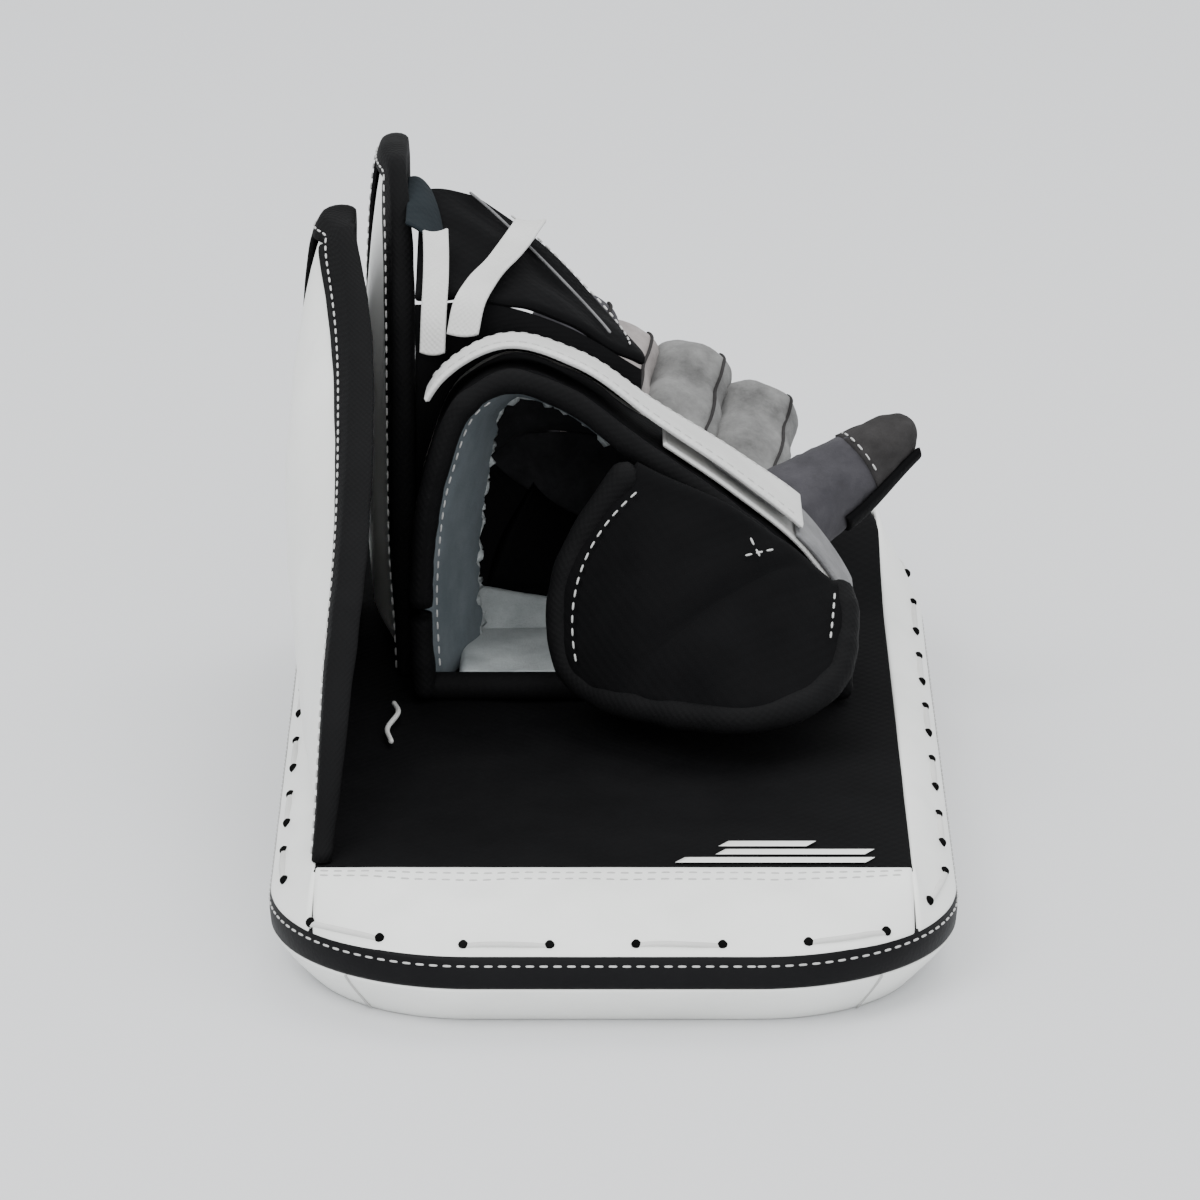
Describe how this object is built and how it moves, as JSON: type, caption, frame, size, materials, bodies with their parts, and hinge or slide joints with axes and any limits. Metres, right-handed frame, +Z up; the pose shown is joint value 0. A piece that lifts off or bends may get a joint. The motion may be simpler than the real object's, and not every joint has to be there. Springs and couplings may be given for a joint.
{
  "type": "goalie blocker glove",
  "caption": "Ice hockey goalie blocker lying on its front face: a padded board with side wings, a cuff and flap, straps and a glove on its back.",
  "frame": {"origin": "middle of the board's front face, which lies on the floor", "axes": "+X towards the thumb side, +Y from the wrist end to the finger end, +Z up, away from the front face"},
  "size_m": [0.2048, 0.381, 0.1832],
  "materials": {
    "white_leather": "smooth synthetic leather, slight gloss",
    "black_nylon": "matt woven nylon",
    "black_binding": "folded binding tape",
    "black_band": "smooth black leather",
    "foam": "closed-cell foam",
    "grey_lining": "brushed lining",
    "grey_suede": "soft suede, smudged",
    "thumb_suede": "soft dark suede",
    "white_webbing": "woven strap",
    "grey_webbing": "hook and loop tape",
    "white_lace": "waxed lace"
  },
  "bodies": {
    "board": {"back_panel": "black_nylon", "backing_foam": "foam", "board_core": "foam", "cuff_binding": "black_binding", "cuff_floor": "grey_lining", "cuff_lining": "grey_lining", "cuff_shell": "black_nylon", "edge_band": "black_band", "face_cover": "white_leather", "finger_end_panel": "white_leather", "glove_back": "black_nylon", "hand_back_pad": "black_nylon", "palm_panel": "grey_suede", "rim_lace": "white_lace", "side_strip_left": "white_leather", "side_strip_right": "white_leather", "strap_end_tab": "grey_webbing", "under_strap": "white_webbing", "wing_lace_end": "white_lace", "wrist_panel": "white_leather"},
    "wrist_wing": {"wrist_wing_binding": "black_binding", "wrist_wing_cover": "white_leather", "wrist_wing_foam": "foam", "wrist_wing_lining": "black_nylon"},
    "finger_wing": {"finger_wing_binding": "black_binding", "finger_wing_cover": "white_leather", "finger_wing_foam": "foam", "finger_wing_lining": "black_nylon", "finger_guard": "black_nylon", "elastic_strap": "white_webbing", "tension_strap": "white_webbing"},
    "cuff_flap": {"flap_binding": "black_binding", "flap_cover": "black_nylon", "flap_foam": "foam", "flap_lining": "black_nylon"},
    "strap": {"wrist_strap": "white_webbing", "strap_hook_patch": "grey_webbing"},
    "index": {"index_finger": "grey_suede"},
    "middle": {"middle_finger": "grey_suede"},
    "ring": {"ring_finger": "grey_suede"},
    "little": {"little_finger": "grey_suede"},
    "thumb": {"thumb_sleeve": "thumb_suede", "thumb_guard": "black_nylon"}
  },
  "joints": [
    {"name": "wrist_wing_flex", "type": "hinge", "parent": "board", "child": "wrist_wing", "pos_m": [-0.089, 0, 0.0368], "axis": [0, -1, 0], "range_deg": [0, 12]},
    {"name": "finger_wing_flex", "type": "hinge", "parent": "board", "child": "finger_wing", "pos_m": [-0.089, 0, 0.0368], "axis": [0, -1, 0], "range_deg": [0, 9.6]},
    {"name": "cuff_flap_lift", "type": "hinge", "parent": "board", "child": "cuff_flap", "pos_m": [0.037, -0.0035, 0.0945], "axis": [-0.7872, 0, 0.6167], "range_deg": [0, 50]},
    {"name": "wrist_strap_open", "type": "hinge", "parent": "board", "child": "strap", "pos_m": [-0.05676, 0.0225, 0.13199], "axis": [0, -1, 0], "range_deg": [0, 85]},
    {"name": "index_knuckle", "type": "hinge", "parent": "board", "child": "index", "pos_m": [0.03903, 0.1, 0.06699], "axis": [0.9171, 0, -0.3987], "range_deg": [-10, 50]},
    {"name": "middle_knuckle", "type": "hinge", "parent": "board", "child": "middle", "pos_m": [0.01601, 0.1, 0.077], "axis": [0.9171, 0, -0.3987], "range_deg": [-10, 50]},
    {"name": "ring_knuckle", "type": "hinge", "parent": "board", "child": "ring", "pos_m": [-0.00701, 0.1, 0.087], "axis": [0.9171, 0, -0.3987], "range_deg": [-10, 40]},
    {"name": "little_knuckle", "type": "hinge", "parent": "board", "child": "little", "pos_m": [-0.03003, 0.1, 0.09701], "axis": [0.9171, 0, -0.3987], "range_deg": [-10, 25]},
    {"name": "thumb_knuckle", "type": "hinge", "parent": "board", "child": "thumb", "pos_m": [0.064, 0.077, 0.0795], "axis": [0.5072, -0.8331, -0.2205], "range_deg": [-10, 40]}
  ],
  "couplings": [
    {"joint": "finger_wing_flex", "follows": "wrist_wing_flex", "ratio": 0.8}
  ]
}
